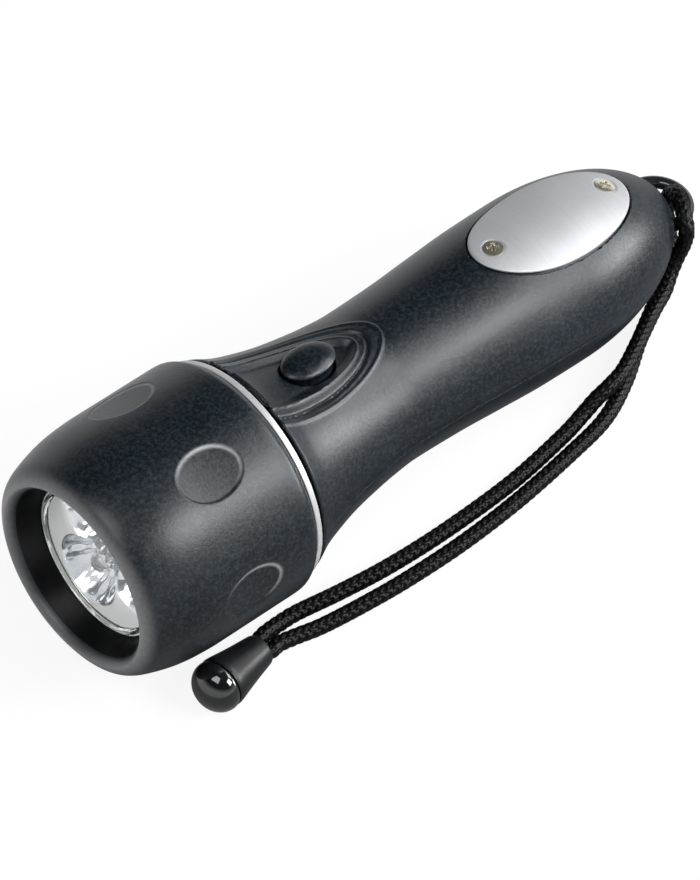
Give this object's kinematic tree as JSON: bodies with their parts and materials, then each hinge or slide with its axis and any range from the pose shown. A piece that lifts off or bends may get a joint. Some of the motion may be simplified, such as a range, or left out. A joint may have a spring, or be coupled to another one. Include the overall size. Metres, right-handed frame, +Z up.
{
  "type": "led flashlight",
  "caption": "Pocket LED flashlight with a wide screw-on head, waisted grip, top push button, oval plate, lanyard loop and a wrist cord laid beside it.",
  "frame": {"origin": "on the floor under the middle of the torch's length, without the cord", "axes": "+X from the head to the tail, +Y to the far side from the cord, +Z up"},
  "size_m": [0.1738, 0.0594, 0.056],
  "materials": {
    "soft_black_head": "soft-touch black with a slate tint",
    "soft_black_grip": "soft-touch black with a slate tint",
    "soft_black_lower": "soft-touch black with a slate tint",
    "clear_lens": "clear moulded lens",
    "seal_rubber": "black rubber",
    "neck_seal_rubber": "black rubber",
    "reflector_chrome": "vacuum plated plastic",
    "led_resin": "clear cast resin",
    "board_lacquer": "lacquered circuit board",
    "retainer_plastic": "plain moulded plastic",
    "collar_plastic": "plain moulded plastic",
    "tube_plastic": "plain moulded plastic",
    "switch_plastic": "plain moulded plastic",
    "plunger_nylon": "natural nylon",
    "spring_steel": "bright spring wire",
    "return_spring_steel": "bright spring wire",
    "contact_steel": "bright spring wire",
    "contact_brass": "stamped contact brass",
    "cell_sleeve": "plain printed sleeve without lettering",
    "trim_silver": "satin silver plating",
    "plate_silver": "satin anodised plate",
    "screw_nickel": "nickel plated",
    "button_black": "smooth black rubber",
    "loop_gloss": "glossy black enamel",
    "stopper_black": "satin black plastic",
    "cap_gloss": "glossy black plastic",
    "cord_black": "round braided cord"
  },
  "bodies": {
    "grip": {"upper_shell": "soft_black_grip", "lower_shell": "soft_black_lower", "neck_collar": "collar_plastic", "neck_seal": "neck_seal_rubber", "cell_tube": "tube_plastic", "cell_1": "cell_sleeve", "cell_2": "cell_sleeve", "tail_spring": "contact_steel", "tail_contact": "contact_brass", "contact_strip": "contact_brass", "switch_body": "switch_plastic", "return_spring": "return_spring_steel", "oval_plate": "plate_silver", "plate_screw_1": "screw_nickel", "plate_screw_2": "screw_nickel", "lanyard_loop": "loop_gloss", "wrist_cord": "cord_black", "cord_stopper": "stopper_black", "stopper_cap": "cap_gloss"},
    "head_carrier": {"trim_ring": "trim_silver"},
    "head": {"head_shell": "soft_black_head", "lens": "clear_lens", "lens_seal": "seal_rubber", "reflector": "reflector_chrome", "led_1": "led_resin", "led_2": "led_resin", "led_3": "led_resin", "led_board": "board_lacquer", "board_retainer": "retainer_plastic", "centre_spring": "spring_steel"},
    "button": {"push_button": "button_black", "switch_plunger": "plunger_nylon"}
  },
  "joints": [
    {"name": "head_travel", "type": "slide", "parent": "grip", "child": "head_carrier", "axis": [-0.9961, 0, 0.0879], "range_m": [0, 0.0046]},
    {"name": "head_turn", "type": "hinge", "parent": "head_carrier", "child": "head", "pos_m": [-0.08499, 0, 0.03078], "axis": [-0.9961, 0, 0.0879], "range_deg": [0, 540]},
    {"name": "button_press", "type": "slide", "parent": "grip", "child": "button", "axis": [-0.0879, 0, -0.9961], "range_m": [0, 0.0012], "stiffness_N_per_m": 800, "deforming": ["return_spring"]}
  ],
  "couplings": [
    {"joint": "head_travel", "follows": "head_turn", "m_per_rad": 0.00047746}
  ]
}
